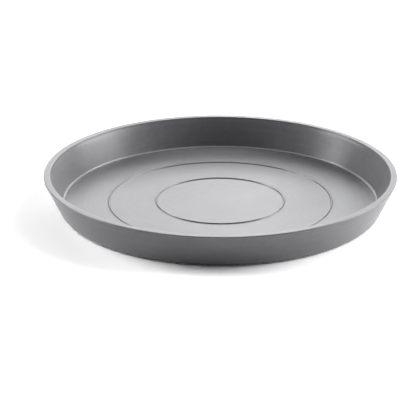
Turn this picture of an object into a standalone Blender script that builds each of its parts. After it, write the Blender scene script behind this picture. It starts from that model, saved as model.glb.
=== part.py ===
"""Round plant saucer: one moulded tray with a flared wall, a level rim and low raised rings on its floor.

Metres, +Z up. The origin is the centre of the face that the saucer stands on.
The whole piece is one section turned about the vertical axis.
"""

import math

import bmesh
import bpy
from mathutils import Vector

# The wall: widest across the rim's outer round, leaning out as it rises, a little thinner at its foot
RIM_DIAMETER = 0.300
HEIGHT = 0.0308
WALL_FLARE = math.radians(26.3)
WALL_TAPER = math.radians(1.2)
RIM_WIDTH = 0.0054
RIM_OUTER_ROUND = 0.0008
RIM_INNER_ROUND = 0.0008

# The floor inside: level as far as the widest ring, then a band that rises to the wall and runs into it in a round
FLOOR_THICKNESS = 0.0032
FLOOR_BAND_RISE = 0.0022
FLOOR_ROUND = 0.0022

# The raised rings that hold a pot's base out of the water, stepping inwards from the wall
RING_INSET = 0.0381
RING_SPACING = 0.0406
RING_WIDTH = 0.0018
RING_CREST = 0.0006
RING_HEIGHT = 0.0008
RING_ROUND = 0.0002

# The underside: a standing ring round a shallow recess, with the mould's gate mark at the centre
FOOT_WIDTH = 0.0070
FOOT_ROUND = 0.0012
RECESS_DEPTH = 0.0012
RECESS_SLOPE = math.radians(40.0)
RECESS_ROUND = 0.0006
GATE_DIAMETER = 0.0060
GATE_TIP_DIAMETER = 0.0044
GATE_HEIGHT = 0.0005

# How finely the section is turned, and how finely its rounds are divided
TURN_STEPS = 96
LARGE_ROUND_STEPS = 4
SMALL_ROUND_STEPS = 2

# Grey moulded plastic with a satin face
PLASTIC_COLOUR = (0.17, 0.17, 0.175, 1.0)
PLASTIC_ROUGHNESS = 0.32

# Points closer than this are one point where the turned section closes on itself
MERGE_DISTANCE = 0.00001


def clear_scene():
    """Removes every object of the open file."""
    for thing in list(bpy.data.objects):
        bpy.data.objects.remove(thing, do_unlink=True)


def ring_radii(floor_radius):
    """Radii of the floor's rings, from the smallest out: as many as leave a full step inside them."""
    widest = floor_radius - RING_INSET
    count = max(0, int(widest / RING_SPACING))
    return [widest - RING_SPACING * step for step in reversed(range(count))]


def ring_corners(radius, level):
    """Four corners of one raised ring: up its inner side, along its level crest and down its outer side."""
    crest = level + RING_HEIGHT
    return [
        (radius - RING_WIDTH / 2, level, 0.0, 0),
        (radius - RING_CREST / 2, crest, RING_ROUND, SMALL_ROUND_STEPS),
        (radius + RING_CREST / 2, crest, RING_ROUND, SMALL_ROUND_STEPS),
        (radius + RING_WIDTH / 2, level, 0.0, 0),
    ]


def saucer_corners():
    """Corners of the section as (radius, height, round, steps), from the floor's centre over the rim to below."""
    floor_level = RECESS_DEPTH + FLOOR_THICKNESS
    rim_radius = RIM_DIAMETER / 2
    # The sharp corner that the outer round stands in lies a little beyond the round's widest point
    rim_corner_half_angle = (math.pi / 2 - WALL_FLARE) / 2
    rim_outer = rim_radius - RIM_OUTER_ROUND + RIM_OUTER_ROUND / math.tan(rim_corner_half_angle)
    rim_inner = rim_radius - RIM_WIDTH
    foot_outer = rim_outer - HEIGHT * math.tan(WALL_FLARE)
    foot_inner = foot_outer - FOOT_WIDTH
    recess = foot_inner - RECESS_DEPTH * math.tan(RECESS_SLOPE)
    band_level = floor_level + FLOOR_BAND_RISE
    floor_radius = rim_inner - (HEIGHT - band_level) * math.tan(WALL_FLARE - WALL_TAPER)

    corners = [(0.0, floor_level, 0.0, 0)]
    for radius in ring_radii(floor_radius):
        corners += ring_corners(radius, floor_level)
    corners += [
        (floor_radius, band_level, FLOOR_ROUND, LARGE_ROUND_STEPS),
        (rim_inner, HEIGHT, RIM_INNER_ROUND, LARGE_ROUND_STEPS),
        (rim_outer, HEIGHT, RIM_OUTER_ROUND, LARGE_ROUND_STEPS),
        (foot_outer, 0.0, FOOT_ROUND, LARGE_ROUND_STEPS),
        (foot_inner, 0.0, RECESS_ROUND, SMALL_ROUND_STEPS),
        (recess, RECESS_DEPTH, RECESS_ROUND, SMALL_ROUND_STEPS),
        (GATE_DIAMETER / 2, RECESS_DEPTH, 0.0, 0),
        (GATE_TIP_DIAMETER / 2, RECESS_DEPTH - GATE_HEIGHT, 0.0, 0),
        (0.0, RECESS_DEPTH - GATE_HEIGHT, 0.0, 0),
    ]
    return corners


def rounded_corner(before, corner, after, radius, steps):
    """Points of the arc that touches both sides of a corner, the arc's two ends included."""
    to_before = (before - corner).normalized()
    to_after = (after - corner).normalized()
    half_angle = to_before.angle(to_after) / 2
    to_centre = (to_before + to_after).normalized()
    centre = corner + to_centre * (radius / math.sin(half_angle))
    start = corner + to_before * (radius / math.tan(half_angle)) - centre
    end = corner + to_after * (radius / math.tan(half_angle)) - centre
    return [centre + start.slerp(end, step / steps) * radius for step in range(steps + 1)]


def section_points(corners):
    """The section's outline, with each corner that has a round replaced by its arc."""
    places = [Vector((radius, height)) for radius, height, _, _ in corners]
    points = []
    for index, (_, _, radius, steps) in enumerate(corners):
        if radius > 0:
            points += rounded_corner(places[index - 1], places[index], places[index + 1], radius, steps)
        else:
            points.append(places[index])
    return points


def turned_object(name, points, material):
    """A mesh object: the section as a line of edges in the XZ plane, turned once about Z by a Screw."""
    mesh = bpy.data.meshes.new(name)
    outline = bmesh.new()
    verts = [outline.verts.new((point.x, 0.0, point.y)) for point in points]
    for first, second in zip(verts, verts[1:]):
        outline.edges.new((first, second))
    outline.to_mesh(mesh)
    outline.free()
    mesh.materials.append(material)

    turned = bpy.data.objects.new(name, mesh)
    bpy.context.scene.collection.objects.link(turned)
    screw = turned.modifiers.new("turn", "SCREW")
    screw.axis = "Z"
    screw.angle = math.tau
    screw.steps = TURN_STEPS
    screw.render_steps = TURN_STEPS
    screw.use_smooth_shade = True
    screw.use_merge_vertices = True
    screw.merge_threshold = MERGE_DISTANCE
    return turned


def plastic(name, colour, roughness):
    """A Principled BSDF for moulded plastic."""
    material = bpy.data.materials.new(name)
    material.use_nodes = True
    shader = material.node_tree.nodes["Principled BSDF"]
    shader.inputs["Base Color"].default_value = colour
    shader.inputs["Roughness"].default_value = roughness
    shader.inputs["Metallic"].default_value = 0.0
    return material


clear_scene()
grey_plastic = plastic("grey_plastic", PLASTIC_COLOUR, PLASTIC_ROUGHNESS)
turned_object("saucer", section_points(saucer_corners()), grey_plastic)
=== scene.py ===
"""Looks of a round grey plant saucer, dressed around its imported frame.

Metres, +Z up. The origin is the centre of the face that the saucer stands on.
"""

import bpy
import numpy as np
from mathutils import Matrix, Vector


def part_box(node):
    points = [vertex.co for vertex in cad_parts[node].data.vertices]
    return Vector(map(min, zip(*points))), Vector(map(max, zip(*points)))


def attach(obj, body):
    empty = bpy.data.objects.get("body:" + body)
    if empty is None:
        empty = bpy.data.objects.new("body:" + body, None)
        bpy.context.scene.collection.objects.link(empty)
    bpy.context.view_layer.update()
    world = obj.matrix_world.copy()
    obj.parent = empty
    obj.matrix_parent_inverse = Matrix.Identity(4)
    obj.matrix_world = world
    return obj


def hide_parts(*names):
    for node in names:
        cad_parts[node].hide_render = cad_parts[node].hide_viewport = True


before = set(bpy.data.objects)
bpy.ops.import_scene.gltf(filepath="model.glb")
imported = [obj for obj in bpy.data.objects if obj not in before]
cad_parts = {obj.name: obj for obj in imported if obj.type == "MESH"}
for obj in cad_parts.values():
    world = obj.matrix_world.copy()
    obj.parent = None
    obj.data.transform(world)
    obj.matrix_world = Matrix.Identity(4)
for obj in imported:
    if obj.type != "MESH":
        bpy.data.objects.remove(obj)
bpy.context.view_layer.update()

# Saucer body: one shot of mass-coloured grey plastic, moulded between two turned steel halves.
# A floor with two raised rings and a band that rises to the wall, a flared wall with a level rim,
# and a standing ring round a shallow recess below, where the gate left its mark.
saucer_low, saucer_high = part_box("saucer")
rim_radius = saucer_high.x
saucer_height = saucer_high.z - saucer_low.z
wall_flare = np.radians(25.6)
wall_taper = np.radians(2.9)
rim_width = 0.0054
rim_outer_round = 0.0008
rim_inner_round = 0.0008
floor_thickness = 0.0032
floor_band_rise = 0.0014
floor_round = 0.0012
ring_inset = 0.03905
ring_spacing = 0.0406
ring_width = 0.0018
ring_crest = 0.0006
ring_height = 0.0008
ring_round = 0.0003
ring_root_round = 0.0002
foot_width = 0.0075
foot_round = 0.0060
recess_depth = 0.0012
recess_slope = np.radians(40.0)
recess_round = 0.0006
gate_radius = 0.0030
gate_tip_radius = 0.0022
gate_height = 0.0005
gate_round = 0.0002
turn_count = 320
round_steps = 7
level_step = 0.004
climb_step = 0.0005

# The inner wall drew in a little as it cooled: it bows, steps back under the thick rim and has a faint groove there.
# A share is a place up the wall, from 0 at its foot to 1 at the rim.
wall_bow = 0.00030
ledge_depth = 0.00015
ledge_share = 0.83
ledge_softness = 0.055
groove_depth = 0.00018
groove_share = 0.932
groove_softness = 0.030

# How much an edge is rubbed by hands, pots and the ground: 1 is a bare touched edge, 0 is none.
# A negative rub marks the round at the wall's foot: glossier, and paler with a painted highlight.
rim_rub, ring_rub, foot_rub, untouched = 1.0, 0.7, 0.9, 0.0
wall_foot_gloss_and_highlight = -1.0


def ring_corners(radius, level):
    """Four corners of a raised ring on the floor, each (radius, height, round, rub)."""
    crest = level + ring_height
    return [
        (radius - ring_width / 2, level, ring_root_round, untouched),
        (radius - ring_crest / 2, crest, ring_round, ring_rub),
        (radius + ring_crest / 2, crest, ring_round, ring_rub),
        (radius + ring_width / 2, level, ring_root_round, untouched),
    ]


def saucer_corners():
    """Corners of the turned section, from the floor's centre over the rim to the centre below."""
    floor_level = recess_depth + floor_thickness
    band_level = floor_level + floor_band_rise
    half_rim_angle = (np.pi / 2 - wall_flare) / 2
    rim_outer = rim_radius - rim_outer_round + rim_outer_round / np.tan(half_rim_angle)
    rim_inner = rim_radius - rim_width
    foot_outer = rim_outer - saucer_height * np.tan(wall_flare)
    foot_inner = foot_outer - foot_width
    floor_radius = rim_inner - (saucer_height - band_level) * np.tan(wall_flare - wall_taper)
    outer_ring = floor_radius - ring_inset
    return [
        (0.0, floor_level, 0.0, untouched),
        *ring_corners(outer_ring - ring_spacing, floor_level),
        *ring_corners(outer_ring, floor_level),
        (floor_radius, band_level, floor_round, wall_foot_gloss_and_highlight),
        (rim_inner, saucer_height, rim_inner_round, rim_rub),
        (rim_outer, saucer_height, rim_outer_round, rim_rub),
        (foot_outer, 0.0, foot_round, foot_rub),
        (foot_inner, 0.0, recess_round, foot_rub),
        (foot_inner - recess_depth * np.tan(recess_slope), recess_depth, recess_round, untouched),
        (gate_radius, recess_depth, gate_round, untouched),
        (gate_tip_radius, recess_depth - gate_height, gate_round, untouched),
        (0.0, recess_depth - gate_height, 0.0, untouched),
    ]


def rounded_arc(before, corner, after, radius):
    """Arc that touches both sides of a corner: centre + radius (cos t, sin t), with t swept from touch to touch."""
    back = (before - corner) / np.linalg.norm(before - corner)
    on = (after - corner) / np.linalg.norm(after - corner)
    half = np.arccos(np.clip(back @ on, -1, 1)) / 2
    middle = (back + on) / np.linalg.norm(back + on)
    centre = corner + middle * radius / np.sin(half)
    first = corner + back * radius / np.tan(half) - centre
    last = corner + on * radius / np.tan(half) - centre
    start = np.arctan2(first[1], first[0])
    sweep = np.arctan2(first[0] * last[1] - first[1] * last[0], first @ last)
    t = start + sweep * np.linspace(0, 1, round_steps + 1)
    return centre + radius * np.stack([np.cos(t), np.sin(t)], axis=1)


def section_points(corners):
    """The section as rows of (radius, height, rub): rounded corners joined by straight runs in short steps.
    A round has its corner's rub all along it, and the straight runs between have none."""
    places = np.array([corner[:2] for corner in corners])
    rub = np.array([corner[3] for corner in corners])
    runs = [places[:1]]
    for index in range(1, len(corners) - 1):
        runs.append(rounded_arc(places[index - 1], places[index], places[index + 1], corners[index][2]))
    runs.append(places[-1:])
    rows = [np.append(runs[0][0], rub[0])[None]]
    for run, run_rub in zip(runs[1:], rub[1:]):
        gap = run[0] - rows[-1][-1, :2]
        steps = int(np.ceil(max(abs(gap[0]) / level_step, abs(gap[1]) / climb_step)))
        between = rows[-1][-1, :2] + np.linspace(0, 1, steps + 1)[1:-1, None] * gap
        if len(between):
            rows.append(np.column_stack([between, np.full(len(between), untouched)]))
        rows.append(np.column_stack([run, np.full(len(run), run_rub)]))
    return np.concatenate(rows)


def bowed_wall(section):
    """Moves the inner wall in by bow x 4 s (1 - s) + ledge x (s - (1 + tanh((s - ledge_share) / softness)) / 2)
    - groove x exp(-((s - groove_share) / softness)^2), where s is the share of the way up the wall."""
    radius, height, rub = section.T
    foot = recess_depth + floor_thickness + floor_band_rise
    share = (height - foot) / (saucer_height - foot)
    stepped_back = (1 + np.tanh((share - ledge_share) / ledge_softness)) / 2
    grooved = groove_depth * np.exp(-(((share - groove_share) / groove_softness) ** 2))
    inwards = wall_bow * 4 * share * (1 - share) + ledge_depth * (share - stepped_back) - grooved
    on_wall = (np.arange(len(section)) <= np.argmax(height)) & (share > 0)
    return np.column_stack([radius - np.where(on_wall, inwards, 0.0), height, rub])


def turned_mesh(name, section):
    """Surface of revolution: vertex (i, j) is (r_i cos a_j, r_i sin a_j, h_i), a_j = 2 pi j / turn_count.
    The section's two ends lie on the axis, so each is one vertex that closes its side with a fan.
    The rub of each row goes into the point attribute "rub"."""
    angle = np.arange(turn_count) * (2 * np.pi / turn_count)
    radius, height = section[1:-1, :1], section[1:-1, 1:2]
    around = np.stack(np.broadcast_arrays(radius * np.cos(angle), radius * np.sin(angle), height), axis=-1)
    ends = np.array([[0.0, 0.0, section[0, 1]], [0.0, 0.0, section[-1, 1]]])
    vertices = np.concatenate([around.reshape(-1, 3), ends])
    rub = np.concatenate([np.repeat(section[1:-1, 2], turn_count), section[[0, -1], 2]])

    rows = len(section) - 2
    index = np.arange(rows * turn_count).reshape(rows, turn_count)
    beside = np.roll(index, -1, axis=1)
    quads = np.stack([index[:-1], index[1:], beside[1:], beside[:-1]], axis=-1).reshape(-1, 4)
    top, bottom = len(vertices) - 2, len(vertices) - 1
    top_fan = np.stack([np.full(turn_count, top), index[0], beside[0]], axis=-1)
    bottom_fan = np.stack([index[-1], np.full(turn_count, bottom), beside[-1]], axis=-1)

    mesh = bpy.data.meshes.new(name)
    mesh.from_pydata(vertices.tolist(), [], quads.tolist() + top_fan.tolist() + bottom_fan.tolist())
    mesh.polygons.foreach_set("use_smooth", np.ones(len(mesh.polygons), bool))
    mesh.attributes.new("rub", "FLOAT", "POINT").data.foreach_set("value", rub.astype(np.float32))
    mesh.update()
    return mesh


def add_node(tree, kind, values, **settings):
    """A node with its settings; values go on its sockets by name or number, and a socket among them is linked."""
    node = tree.nodes.new(kind)
    for name, setting in settings.items():
        setattr(node, name, setting)
    for socket, value in values.items():
        if isinstance(value, bpy.types.NodeSocket):
            tree.links.new(value, node.inputs[socket])
        else:
            node.inputs[socket].default_value = value
    return node


def add_noise(tree, place, size, detail):
    """Noise whose patches are about one size across, in metres, less its mean: from -0.5 to 0.5."""
    noise_mean = 0.5
    noise = add_node(tree, "ShaderNodeTexNoise", {"Vector": place, "Scale": 1 / size, "Detail": detail})
    return add_node(tree, "ShaderNodeMath", {0: noise.outputs[0], 1: noise_mean}, operation="SUBTRACT").outputs[0]


def weighted_sum(tree, start, parts):
    """start + the sum of each part times its weight, as a chain of multiply-adds."""
    total = start
    for part, weight in parts:
        total = add_node(tree, "ShaderNodeMath", {0: part, 1: weight, 2: total}, operation="MULTIPLY_ADD").outputs[0]
    return total


# Finish: sizes of its marks in metres, how many finer octaves each has (detail), and how much each one changes
# the shade between the dark and the pale grey, the roughness and the relief
plastic_dark = (0.150, 0.150, 0.159, 1.0)
plastic_pale = (0.188, 0.188, 0.199, 1.0)
middle_shade = 0.5
plastic_roughness, least_roughness = 0.33, 0.28
patch_size, patch_detail, patch_shade, patch_roughness = 0.045, 3.0, 0.60, 0.08
mottle_size, mottle_detail, mottle_shade, mottle_roughness, mottle_height = 0.005, 1.0, 1.00, 0.10, 0.000050
streak_size, streak_detail, streak_shade, streak_roughness = 0.012, 2.0, 0.35, 0.05
streak_spread, streak_stretch = 0.10, 0.25
turning_size, turning_detail, turning_spread, turning_shade, turning_height = 0.0018, 2.0, 0.006, 1.10, 0.000018
grain_size, grain_detail, grain_height = 0.0006, 1.0, 0.000004
wave_size, wave_detail, wave_height = 0.022, 1.0, 0.00018
# Rubbed edges are paler partly from wear and partly as a painted highlight, raised to lighten the rim's rounds.
wear_and_highlight_shade, rub_roughness, rub_share, rub_breaks = 0.90, -0.05, 0.6, 1.2
wall_foot_polish, painted_highlight_start = 0.19, -0.5
painted_highlight_white = (0.33, 0.33, 0.34, 1.0)


def satin_grey_plastic():
    """Satin grey plastic from a spark-eroded mould. Shade and roughness drift in soft patches, in a finer mottle and
    in faint streaks that flow out from the gate. The relief is the mottle, a fine grain, broken turning lines of the
    mould, which run round the axis, and a slow waviness. Rubbed edges are smoother and paler: wear, and at this
    strength also a painted highlight. The round at the wall's foot is glossier, and paler with a painted highlight."""
    material = bpy.data.materials.new("satin_grey_plastic")
    material.use_nodes = True
    tree = material.node_tree
    shader = tree.nodes["Principled BSDF"]
    place = add_node(tree, "ShaderNodeTexCoord", {}).outputs["Object"]
    rub = add_node(tree, "ShaderNodeAttribute", {}, attribute_name="rub").outputs["Fac"]

    # Distance from the axis, the direction away from it, and the way along the section
    level_only = {0: place, 1: (1.0, 1.0, 0.0)}
    level_place = add_node(tree, "ShaderNodeVectorMath", level_only, operation="MULTIPLY").outputs[0]
    from_axis = add_node(tree, "ShaderNodeVectorMath", {0: level_place}, operation="LENGTH").outputs["Value"]
    outwards = add_node(tree, "ShaderNodeVectorMath", {0: level_place}, operation="NORMALIZE").outputs[0]
    height = add_node(tree, "ShaderNodeSeparateXYZ", {0: place}).outputs["Z"]
    along = add_node(tree, "ShaderNodeMath", {0: from_axis, 1: height}, operation="ADD").outputs[0]
    flow = add_node(tree, "ShaderNodeMath", {0: along, 1: streak_stretch}, operation="MULTIPLY").outputs[0]

    def around_axis(spread, along_axis):
        """A place on a tube of one radius: direction x spread, with the given length along it."""
        upright = add_node(tree, "ShaderNodeCombineXYZ", {"Z": along_axis}).outputs[0]
        values = {0: outwards, 1: (spread, spread, spread), 2: upright}
        return add_node(tree, "ShaderNodeVectorMath", values, operation="MULTIPLY_ADD").outputs[0]

    patches = add_noise(tree, place, patch_size, patch_detail)
    mottle = add_noise(tree, place, mottle_size, mottle_detail)
    grain = add_noise(tree, place, grain_size, grain_detail)
    waves = add_noise(tree, place, wave_size, wave_detail)
    streaks = add_noise(tree, around_axis(streak_spread, flow), streak_size, streak_detail)
    turning_lines = add_noise(tree, around_axis(turning_spread, along), turning_size, turning_detail)
    worn = weighted_sum(tree, rub_share, [(mottle, rub_breaks)])
    touched = add_node(tree, "ShaderNodeMath", {0: rub, 1: untouched}, operation="MAXIMUM").outputs[0]
    broken_rub = add_node(tree, "ShaderNodeMath", {0: touched, 1: worn}, operation="MULTIPLY").outputs[0]

    shade = weighted_sum(
        tree,
        middle_shade,
        [
            (patches, patch_shade),
            (mottle, mottle_shade),
            (streaks, streak_shade),
            (turning_lines, turning_shade),
            (broken_rub, wear_and_highlight_shade),
        ],
    )
    colour = add_node(
        tree, "ShaderNodeMix", {"Factor": shade, "A": plastic_dark, "B": plastic_pale}, data_type="RGBA"
    )
    # Painted highlight: the round at the wall's foot is mixed towards a pale grey, as a line of light along it.
    stretch = {"Value": rub, "From Min": painted_highlight_start, "From Max": wall_foot_gloss_and_highlight}
    painted_highlight_share = add_node(tree, "ShaderNodeMapRange", stretch).outputs[0]
    painted_highlight_colour = add_node(
        tree,
        "ShaderNodeMix",
        {"Factor": painted_highlight_share, "A": colour.outputs["Result"], "B": painted_highlight_white},
        data_type="RGBA",
    )
    tree.links.new(painted_highlight_colour.outputs["Result"], shader.inputs["Base Color"])
    roughness = weighted_sum(
        tree,
        plastic_roughness,
        [
            (patches, patch_roughness),
            (mottle, mottle_roughness),
            (streaks, streak_roughness),
            (broken_rub, rub_roughness),
        ],
    )
    satin = add_node(tree, "ShaderNodeMath", {0: roughness, 1: least_roughness}, operation="MAXIMUM")
    gloss = add_node(tree, "ShaderNodeMath", {0: rub, 1: untouched}, operation="MINIMUM").outputs[0]
    glossier = weighted_sum(tree, satin.outputs[0], [(gloss, wall_foot_polish)])
    tree.links.new(glossier, shader.inputs["Roughness"])
    relief = weighted_sum(
        tree,
        0.0,
        [(mottle, mottle_height), (turning_lines, turning_height), (grain, grain_height), (waves, wave_height)],
    )
    bump = add_node(tree, "ShaderNodeBump", {"Strength": 1.0, "Distance": 1.0, "Height": relief})
    tree.links.new(bump.outputs["Normal"], shader.inputs["Normal"])
    return material


saucer_section = bowed_wall(section_points(saucer_corners()))
saucer = bpy.data.objects.new("saucer_moulding", turned_mesh("saucer_moulding", saucer_section))
saucer.data.materials.append(satin_grey_plastic())
bpy.context.scene.collection.objects.link(saucer)
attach(saucer, "root")
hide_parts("saucer")

# Studio floor: a plain white sweep, big enough to fill the view and to throw light up under the wall.
# It is painted matt, so that it takes the saucer's shadow and no reflection.
floor_half = 4.0
floor_mesh = bpy.data.meshes.new("studio_floor")
floor_mesh.from_pydata(
    [
        (-floor_half, -floor_half, 0),
        (floor_half, -floor_half, 0),
        (floor_half, floor_half, 0),
        (-floor_half, floor_half, 0),
    ],
    [],
    [(0, 1, 2, 3)],
)
studio_floor = bpy.data.objects.new("studio_floor", floor_mesh)
floor_white = (0.95, 0.95, 0.95, 1.0)
full_white = (1.0, 1.0, 1.0, 1.0)
# Painted light near the saucer that pales its shadow on the floor: a lift at the sides and in front, full within one
# radius and gone beyond the other.
seen_white, side_painted_light, front_painted_light, front_power = 1.13, 0.20, 0.90, 2.0
front_y, back_y = -0.17, 0.20
painted_light_full_radius, painted_light_none_radius = 0.17, 0.215
lit_radius, unlit_radius = 0.3, 1.2


def seen_rays(tree):
    """1 for a ray from the camera, off a gloss or through glass, and 0 for one that lights something."""
    path = add_node(tree, "ShaderNodeLightPath", {}).outputs
    mirrored = add_node(
        tree, "ShaderNodeMath", {0: path["Is Glossy Ray"], 1: path["Is Transmission Ray"]}, operation="MAXIMUM"
    ).outputs[0]
    return add_node(tree, "ShaderNodeMath", {0: path["Is Camera Ray"], 1: mirrored}, operation="MAXIMUM").outputs[0]


def white_floor():
    """Matt white, seen as white by the camera, by glosses and through glass. Close to the saucer it carries painted
    light that pales the saucer's cast shadow, most of all in front, so that only the deeper shadow shows: white +
    painted light, which is the side's, fading to the back, plus the front's x (share of the way to the front)^power.
    It glows evenly where the lamps don't reach."""
    material = bpy.data.materials.new("white_floor")
    material.use_nodes = True
    tree = material.node_tree
    shader = tree.nodes["Principled BSDF"]
    seen = seen_rays(tree)
    place = add_node(tree, "ShaderNodeTexCoord", {}).outputs["Object"]
    away = add_node(tree, "ShaderNodeSeparateXYZ", {0: place}).outputs["Y"]
    from_axis = add_node(tree, "ShaderNodeVectorMath", {0: place}, operation="LENGTH").outputs["Value"]
    to_front = add_node(tree, "ShaderNodeMapRange", {"Value": away, "From Min": 0.0, "From Max": front_y}).outputs[0]
    in_front = add_node(tree, "ShaderNodeMath", {0: to_front, 1: front_power}, operation="POWER").outputs[0]
    to_back = {"Value": away, "From Min": 0.0, "From Max": back_y, "To Min": side_painted_light, "To Max": 0.0}
    beside = add_node(tree, "ShaderNodeMapRange", to_back).outputs[0]
    near = {"From Min": painted_light_full_radius, "From Max": painted_light_none_radius, "To Min": 1.0, "To Max": 0.0}
    close_by = add_node(
        tree, "ShaderNodeMapRange", {"Value": from_axis, **near}, interpolation_type="SMOOTHSTEP"
    ).outputs[0]
    shadow_fill = weighted_sum(tree, beside, [(in_front, front_painted_light)])
    white_with_painted_light = weighted_sum(tree, seen_white, [(shadow_fill, close_by)])
    colour = add_node(
        tree, "ShaderNodeMix", {"Factor": seen, "A": floor_white, "B": white_with_painted_light}, data_type="RGBA"
    )
    tree.links.new(colour.outputs["Result"], shader.inputs["Base Color"])
    reach = {"Value": from_axis, "From Min": lit_radius, "From Max": unlit_radius}
    unlit = add_node(tree, "ShaderNodeMapRange", reach, interpolation_type="SMOOTHSTEP").outputs[0]
    glow = add_node(tree, "ShaderNodeMath", {0: unlit, 1: seen}, operation="MULTIPLY").outputs[0]
    tree.links.new(glow, shader.inputs["Emission Strength"])
    shader.inputs["Emission Color"].default_value = full_white
    shader.inputs["Roughness"].default_value = 1.0
    shader.inputs["Specular IOR Level"].default_value = 0.0
    return material


floor_mesh.materials.append(white_floor())
bpy.context.scene.collection.objects.link(studio_floor)

# Studio light: softboxes to the right, to the left and behind, some of them low by the floor, and a dim room.
# They are rectangles of even light on stands round the saucer, out of the camera's sight.
softbox_distance = 1.6


def softbox(name, azimuth, elevation, width, height, radiance):
    """A rectangular lamp on a sphere round the saucer, facing it. Angles in degrees; power = pi x radiance x area."""
    turn, rise = np.radians(azimuth), np.radians(elevation)
    outwards = Vector((np.cos(rise) * np.cos(turn), np.cos(rise) * np.sin(turn), np.sin(rise)))
    lamp = bpy.data.lights.new(name, "AREA")
    lamp.shape = "RECTANGLE"
    lamp.size, lamp.size_y = width, height
    lamp.energy = np.pi * radiance * width * height
    holder = bpy.data.objects.new(name, lamp)
    holder.location = softbox_distance * outwards
    holder.rotation_euler = (-outwards).to_track_quat("-Z", "Y").to_euler()
    holder.visible_camera = False
    bpy.context.scene.collection.objects.link(holder)


softbox("right_softbox", 10.5, 29.2, 1.028, 0.686, 10.5)
softbox("right_back_softbox", 39.5, 43.0, 0.450, 0.640, 8.6)
softbox("left_softbox", 166.5, 33.3, 0.875, 0.535, 11.8)
softbox("back_right_softbox", 69.5, 22.8, 1.065, 0.942, 2.75)
softbox("back_softbox", 99.9, 26.9, 0.715, 0.663, 3.85)
softbox("left_low_softbox", 179.1, 8.4, 0.467, 0.450, 10.4)
softbox("right_low_softbox", 0.3, 3.3, 1.345, 0.313, 10.8)
room_level = 0.01
horizon_low, horizon_high = 0.06, 0.14


def dim_room():
    """A dim room that gives little light, seen as white along the horizon, where the sweep would stand."""
    world = bpy.data.worlds.new("dim_room")
    world.use_nodes = True
    tree = world.node_tree
    direction = add_node(tree, "ShaderNodeTexCoord", {}).outputs["Generated"]
    rise = add_node(tree, "ShaderNodeSeparateXYZ", {0: direction}).outputs["Z"]
    span = {"Value": rise, "From Min": horizon_low, "From Max": horizon_high, "To Min": 1.0, "To Max": room_level}
    horizon = add_node(tree, "ShaderNodeMapRange", span).outputs[0]
    level = add_node(tree, "ShaderNodeMix", {"Factor": seen_rays(tree), "A": room_level, "B": horizon})
    background = tree.nodes["Background"]
    background.inputs["Color"].default_value = full_white
    tree.links.new(level.outputs["Result"], background.inputs["Strength"])
    return world


bpy.context.scene.world = dim_room()

# Camera: a long lens a little above the rim, as in the photograph, 400 pixels across.
# It stands straight in front and aims beside the rim's centre, so that the saucer lies where the photograph has it.
picture_width = 400
camera_distance = 12.0 * rim_radius
camera_elevation = np.radians(20.18)
focal_share = 2115.9 / picture_width
aim_right = -20.25 / picture_width
aim_up = -28.66 / picture_width
camera_data = bpy.data.cameras.new("camera")
camera_data.lens = focal_share * camera_data.sensor_width
camera = bpy.data.objects.new("camera", camera_data)
rim_centre = Vector((0, 0, saucer_height))
towards = Vector((0, np.cos(camera_elevation), -np.sin(camera_elevation)))
upwards = Vector((0, np.sin(camera_elevation), np.cos(camera_elevation)))
camera.location = rim_centre - camera_distance * towards
aim = towards + (aim_right * Vector((1, 0, 0)) + aim_up * upwards) / focal_share
camera.rotation_euler = aim.to_track_quat("-Z", "Y").to_euler()
bpy.context.scene.collection.objects.link(camera)
bpy.context.scene.camera = camera
bpy.context.scene.view_settings.view_transform = "Standard"
